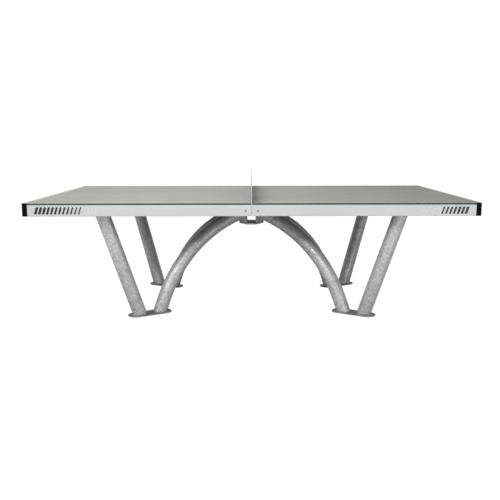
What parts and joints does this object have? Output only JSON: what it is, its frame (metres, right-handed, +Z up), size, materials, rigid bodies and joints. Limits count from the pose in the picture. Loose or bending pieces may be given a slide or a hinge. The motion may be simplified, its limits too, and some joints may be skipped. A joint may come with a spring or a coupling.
{
  "type": "ping pong table",
  "caption": "Outdoor ping pong table with grey playing surfaces on a white steel frame, straight and arched galvanised tube legs on shared foot plates, and a plain steel net.",
  "frame": {"origin": "on the ground, under the middle of the table", "axes": "+X along the table, across the net; +Y across the table, along the net; +Z up"},
  "size_m": [2.74, 1.5316, 0.9125],
  "materials": {
    "playing_surface": "grey weatherproof laminate with a fine matt texture and lighter court lines",
    "apron_paint": "near-white powder coat, satin",
    "net_paint": "near-white powder coat, satin",
    "corner_guard": "black moulded plastic, fine grain",
    "galvanised_steel": "hot-dip galvanised steel with crystalline mottling",
    "fasteners": "stainless steel"
  },
  "bodies": {
    "root": {"apron_front_left": "apron_paint", "apron_front_right": "apron_paint", "apron_left_end": "apron_paint", "apron_rear_left": "apron_paint", "apron_rear_right": "apron_paint", "apron_right_end": "apron_paint", "arch_leg_front_left": "galvanised_steel", "arch_leg_front_right": "galvanised_steel", "arch_leg_rear_left": "galvanised_steel", "arch_leg_rear_right": "galvanised_steel", "centre_beam_left": "galvanised_steel", "centre_beam_right": "galvanised_steel", "corner_guard_front_left": "corner_guard", "corner_guard_front_right": "corner_guard", "corner_guard_rear_left": "corner_guard", "corner_guard_rear_right": "corner_guard", "foot_plate_front_left": "galvanised_steel", "foot_plate_front_right": "galvanised_steel", "foot_plate_rear_left": "galvanised_steel", "foot_plate_rear_right": "galvanised_steel", "hub_base_plate": "galvanised_steel", "hub_bolt_front_left": "fasteners", "hub_bolt_front_right": "fasteners", "hub_bolt_rear_left": "fasteners", "hub_bolt_rear_right": "fasteners", "hub_shell_left": "galvanised_steel", "hub_shell_right": "galvanised_steel", "hub_top_plate": "galvanised_steel", "leg_beam_left": "galvanised_steel", "leg_beam_right": "galvanised_steel", "leg_bolt_inner_front_left": "fasteners", "leg_bolt_inner_front_right": "fasteners", "leg_bolt_inner_rear_left": "fasteners", "leg_bolt_inner_rear_right": "fasteners", "leg_bolt_outer_front_left": "fasteners", "leg_bolt_outer_front_right": "fasteners", "leg_bolt_outer_rear_left": "fasteners", "leg_bolt_outer_rear_right": "fasteners", "leg_head_plate_front_left": "galvanised_steel", "leg_head_plate_front_right": "galvanised_steel", "leg_head_plate_rear_left": "galvanised_steel", "leg_head_plate_rear_right": "galvanised_steel", "net": "net_paint", "net_bolt_front": "fasteners", "net_bolt_rear": "fasteners", "net_nut_front": "fasteners", "net_nut_rear": "fasteners", "seam_screw_front_left": "fasteners", "seam_screw_front_right": "fasteners", "seam_screw_rear_left": "fasteners", "seam_screw_rear_right": "fasteners", "stiffener_left": "galvanised_steel", "stiffener_right": "galvanised_steel", "straight_leg_front_left": "galvanised_steel", "straight_leg_front_right": "galvanised_steel", "straight_leg_rear_left": "galvanised_steel", "straight_leg_rear_right": "galvanised_steel", "tabletop_left": "playing_surface", "tabletop_right": "playing_surface"}
  },
  "joints": []
}
